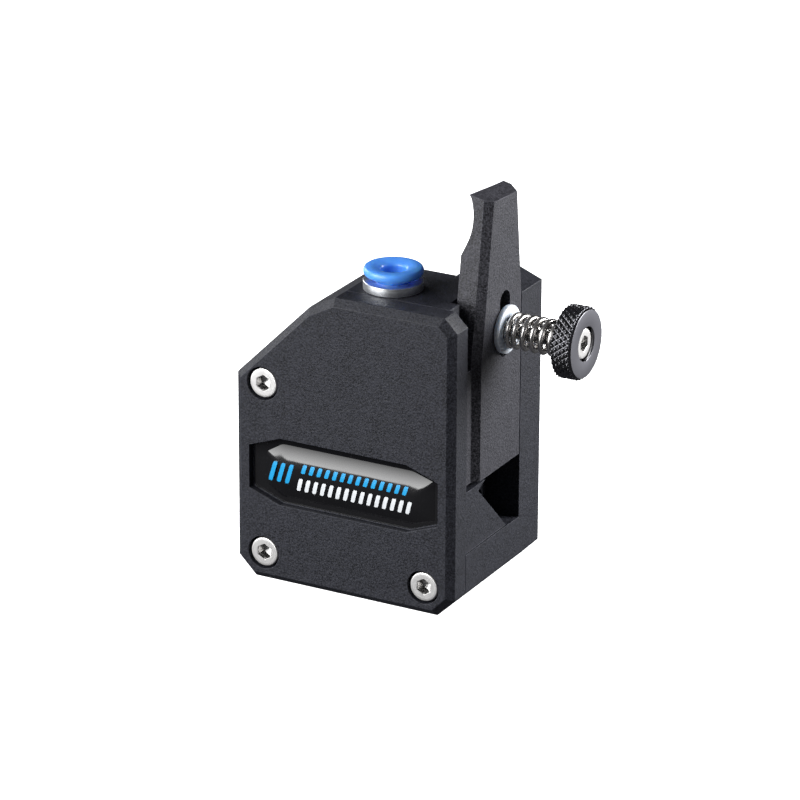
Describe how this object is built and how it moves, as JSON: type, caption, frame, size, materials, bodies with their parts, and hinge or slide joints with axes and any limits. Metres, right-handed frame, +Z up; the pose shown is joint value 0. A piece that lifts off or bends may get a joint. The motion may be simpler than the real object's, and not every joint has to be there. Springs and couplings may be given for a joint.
{
  "type": "filament extruder",
  "caption": "Geared dual-drive filament extruder: boxed case, hinged idler lever with a sprung thumbscrew, push-in tube collet on top and a square motor mounting face behind.",
  "frame": {"origin": "middle of the case's underside: under the motor shaft's axis, halfway between the front face and the motor face", "axes": "+Z up along the filament path towards the collet, +Y from the front cover to the motor face, +X towards the thumbscrew"},
  "size_m": [0.0573, 0.0363, 0.0714],
  "materials": {
    "black_nylon": "fine sparked grain",
    "badge_gloss": "domed gloss",
    "stainless": "satin",
    "gear_steel": "machined",
    "dark_steel": "blackened",
    "nickel": "bright nickel",
    "black_anodised": "knurled, black anodised",
    "white_nylon": "translucent",
    "acetal": "moulded",
    "blue_acetal": "translucent",
    "seal_rubber": "moulded"
  },
  "bodies": {
    "root": {"main_housing": "black_nylon", "front_cover": "black_nylon", "cover_badge": "badge_gloss", "case_screw_upper_left": "stainless", "case_screw_lower_left": "stainless", "pivot_screw": "stainless", "pivot_bush": "gear_steel", "collet_body": "nickel", "collet_grip_ring": "nickel", "collet_o_ring": "seal_rubber", "upper_guide_tube": "white_nylon", "lower_guide_tube": "white_nylon", "tension_nut": "stainless", "front_bearing_outer_race": "gear_steel", "rear_bearing_outer_race": "gear_steel"},
    "drive": {"drive_shaft": "gear_steel", "main_gear": "acetal", "main_gear_hub": "gear_steel", "drive_gear": "gear_steel", "drive_gear_grub_screw": "dark_steel", "front_shim": "white_nylon", "shaft_spacer": "white_nylon", "front_bearing_inner_race": "gear_steel", "rear_bearing_inner_race": "gear_steel"},
    "pinion": {"motor_pinion": "gear_steel", "pinion_grub_screw": "dark_steel"},
    "lever": {"idler_lever": "black_nylon", "idler_axle": "nickel", "needle_sleeve_front": "nickel", "needle_sleeve_rear": "nickel", "idler_shim_front": "white_nylon", "idler_shim_rear": "white_nylon", "tension_washer": "white_nylon"},
    "idler": {"idler_gear": "gear_steel"},
    "carriage": {"tension_spring": "nickel"},
    "knob": {"tension_knob": "black_anodised", "tension_screw": "stainless"},
    "release": {"collet_release": "blue_acetal"}
  },
  "joints": [
    {"name": "drive_spin", "type": "hinge", "parent": "root", "child": "drive", "pos_m": [0, 0.001, 0.03735], "axis": [0, 1, 0], "continuous": true},
    {"name": "pinion_spin", "type": "hinge", "parent": "root", "child": "pinion", "pos_m": [0, 0.0051, 0.0206], "axis": [0, 1, 0], "continuous": true},
    {"name": "lever_pivot", "type": "hinge", "parent": "root", "child": "lever", "pos_m": [0.0155, -0.0066, 0.0051], "axis": [0, 1, 0], "range_deg": [0, 3], "deforming": ["tension_spring"]},
    {"name": "idler_spin", "type": "hinge", "parent": "lever", "child": "idler", "pos_m": [0.0085, -0.006, 0.03735], "axis": [0, 1, 0], "continuous": true},
    {"name": "tension_advance", "type": "slide", "parent": "root", "child": "carriage", "axis": [1, 0, 0], "range_m": [-0.001, 0], "deforming": ["tension_spring"]},
    {"name": "tension_turn", "type": "hinge", "parent": "carriage", "child": "knob", "pos_m": [0.0325, 0.0023, 0.0467], "axis": [1, 0, 0], "range_deg": [-720, 0]},
    {"name": "collet_press", "type": "slide", "parent": "root", "child": "release", "axis": [0, 0, 1], "range_m": [-0.0008, 0]}
  ],
  "couplings": [
    {"joint": "pinion_spin", "follows": "drive_spin", "ratio": -2.9412},
    {"joint": "idler_spin", "follows": "drive_spin", "ratio": -1},
    {"joint": "tension_turn", "follows": "tension_advance", "rad_per_m": 12566}
  ]
}
